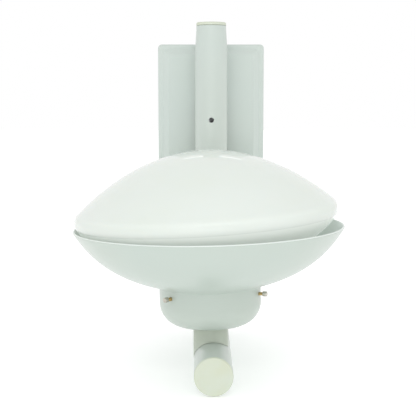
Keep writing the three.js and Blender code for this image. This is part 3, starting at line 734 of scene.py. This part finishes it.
def glass_shade():
    """Hollow opal shade; below its rounded edge it takes the darker opal with a painted glow."""
    outside = glass_outside()
    inside = offset(outside[LIP_STEPS + 1:], GLASS_WALL)[::-1]
    lip_centre = NECK_RADIUS - GLASS_WALL + LIP_ROUND
    lip = arc(lip_centre, NECK_FOOT + LIP_ROUND, LIP_ROUND, 180, 270, LIP_STEPS)
    place = head_place(GLASS_SHIFT, GLASS_LEAN)
    builder = turned([*outside, *inside, *lip], place, 192)
    shade = finish_mesh("opal_shade", builder, OPAL, "glass", sharp=60)
    shade.data.materials.append(OPAL_UNDER_PAINTED_SHADE_AND_GLOW)
    to_own = place.inverted()
    # Faces below the rounded edge take the painted shade and glow.
    for face in shade.data.polygons:
        face.material_index = int((to_own @ face.center).z < GLASS_EQUATOR - GLASS_EDGE_ROUND * 0.5)
    stands_for("glass_shade")


# ---------------------------------------------------------------- thumb screws


def screw_place(bearing):
    """+Z outwards from the lamp's axis at a thumb screw's height; bearing 0 faces the room."""
    turn = Matrix.Rotation(math.radians(bearing), 4, "Z") @ TO_ROOM
    return HEAD @ Matrix.Translation((0, 0, SCREW_HEIGHT)) @ turn


def milled_head(place):
    """A thumb screw's head, with ridges along its side for the fingers."""
    builder = bmesh.new()
    start, end, rounded = THUMB_START, THUMB_START + THUMB_LENGTH, THUMB_RADIUS - THUMB_ROUND
    levels = [
        (0.0, start),
        *arc(rounded, start + THUMB_ROUND, THUMB_ROUND, -90, 0, 3),
        *arc(rounded, end - THUMB_ROUND, THUMB_ROUND, 0, 90, 3),
        (0.0, end),
    ]
    ridges = [0.5 + 0.5 * math.cos(MILLING_RIDGES * t) for t in turns_of(64)]
    rings = []
    for r, z in levels:
        depth = MILLING_DEPTH if r > THUMB_RADIUS - THUMB_ROUND / 2 else 0.0
        rings.append(ring_of(builder, place, z, [r - depth * ridge for ridge in ridges]))
    join(builder, rings)
    return builder


def thumb_screws():
    """Each screw is a threaded shank and a milled head on a body of its own."""
    for number, bearing in enumerate(SCREW_BEARINGS, 1):
        place, body = screw_place(bearing), f"screw_{number}"
        thread = (SHANK_RADIUS, SHANK_THREAD_DEPTH, SHANK_THREAD_PITCH)
        shank = threaded(*thread, SHANK_START, THUMB_START + 0.2, place)
        shank = finish_mesh(f"thumb_screw_shank_{number}", shank, BRASS, body, sharp=60)
        stands_for(f"thumb_screw_{number}")
        head = finish_mesh(f"thumb_screw_head_{number}", milled_head(place), NICKEL, body, sharp=60)


# ---------------------------------------------------------------- lampholder and bulb


def lampholder():
    """Two-part bakelite holder with a flange round its shell and a threaded sleeve inside."""
    base = [
        (NIPPLE_HOLE_RADIUS, HOLDER_FOOT),
        (14.6, HOLDER_FOOT),
        *arc(HOLDER_RADIUS - 3, HOLDER_FOOT + 3, 3, -90, 0, 6),
        (HOLDER_RADIUS, HOLDER_SPLIT),
        (HOLDER_BORE, HOLDER_SPLIT),
        (HOLDER_BORE, 8.8),
        (14.2, 6.6),
        (NIPPLE_HOLE_RADIUS, 6.6),
    ]
    piece = finish_mesh("lampholder_base", turned(base, HEAD, 64), BLACK)
    stands_for("holder_base")
    shell = [
        (HOLDER_BORE, HOLDER_SPLIT + GAP),
        (HOLDER_RADIUS, HOLDER_SPLIT + GAP),
        (HOLDER_RADIUS, 34),
        *arc(20.4, 35.6, 0.6, -90, 0, 3),
        *arc(20.4, 37.4, 0.6, 0, 90, 3),
        (HOLDER_RADIUS, 39),
        (17.7, 41.5),
        (14.6, 41.5),
        (14.6, 22),
        (HOLDER_BORE, 22),
    ]
    piece = finish_mesh("lampholder_shell", turned(shell, HEAD, 64), BLACK)
    stands_for("holder_outer_shell")
    thread = (14.3, E27_THREAD_DEPTH, E27_THREAD_PITCH)
    sleeve = threaded(*thread, start=18.5, end=40, place=HEAD, bore=13.6, turns=64, per_pitch=10)
    piece = finish_mesh("lampholder_thread", sleeve, BRASS, sharp=60)
    stands_for("holder_thread_shell")


def bulb():
    """Opal bulb with its threaded cap and the black insulator under it."""
    waist_end = (25.84, BULB_CENTRE - 9.4)
    waist = bezier((12.6, BULB_FOOT), (13.5, 60), (22, 63), waist_end, 16)
    envelope = [(0, BULB_FOOT), *waist, *arc(0, BULB_CENTRE, BULB_RADIUS, -19.9, 90, 24)[1:]]
    piece = finish_mesh("bulb_envelope", turned(envelope, HEAD, 96), BULB_OPAL, "bulb")
    stands_for("bulb_glass")
    thread = (13.1, E27_THREAD_DEPTH, E27_THREAD_PITCH)
    cap = threaded(*thread, start=25.9, end=44, place=HEAD, bore=6, turns=64, per_pitch=10)
    cap = finish_mesh("bulb_thread_cap", cap, ZINC, "bulb", sharp=60)
    stands_for("bulb_cap")
    collar = turned([(5, 22.4), (6.5, 22.4), (12.6, 25.7), (5, 25.7)], HEAD, 64)
    finish_mesh("bulb_insulator", collar, BLACK, "bulb")


# ---------------------------------------------------------------- CAD nodes that stay

KEPT_NODES = {
    "wall_bracket": ZINC,
    "pillar_upper": ZINC,
    "pillar_lower": ZINC,
    "tube_screw_upper": ZINC,
    "tube_screw_lower": ZINC,
    "tube_saddle": BLACK,
    "terminal_block": CERAMIC,
    "earth_screw": BRASS,
    "cable_grommet": RUBBER,
    "flex_lead": SHEATH,
    "nipple": BRASS,
    "nipple_nut_lower": BRASS,
    "nipple_nut_upper": BRASS,
    "holder_insulator": CERAMIC,
    "holder_contact": BRASS,
    "bulb_contact": BRASS,
}


def kept_nodes():
    """Gives the CAD nodes that stay their materials and broken edges."""
    for name, material in KEPT_NODES.items():
        node = frame["nodes"][name]
        for slot in node.material_slots:
            slot.material = material
        edge = node.modifiers.new("broken_edges", "BEVEL")
        edge.width, edge.segments, edge.angle_limit = 0.25 * MM, 2, math.radians(50)


# ---------------------------------------------------------------- build

studio()
wall_plate()
upright_tube()
tube_cap("upright_top_cap", "wall_tube_top_cap", room_place(0, TUBE_Y, TUBE_HIGH.z + GAP), TUBE_TOP_RADIUS)
tube_cap("upright_foot_cap", "wall_tube_foot_cap", room_place(0, TUBE_Y, TUBE_LOW.z - GAP, DOWN))
arm()
tube_cap("arm_cap", "arm_front_cap", room_place(0, ARM_LOW.y - GAP, ARM_Z, TO_ROOM))
post_sleeve()
arm_weld()
gallery_cup()
spun_dish()
thumb_screws()
lampholder()
bulb()
glass_shade()
kept_nodes()
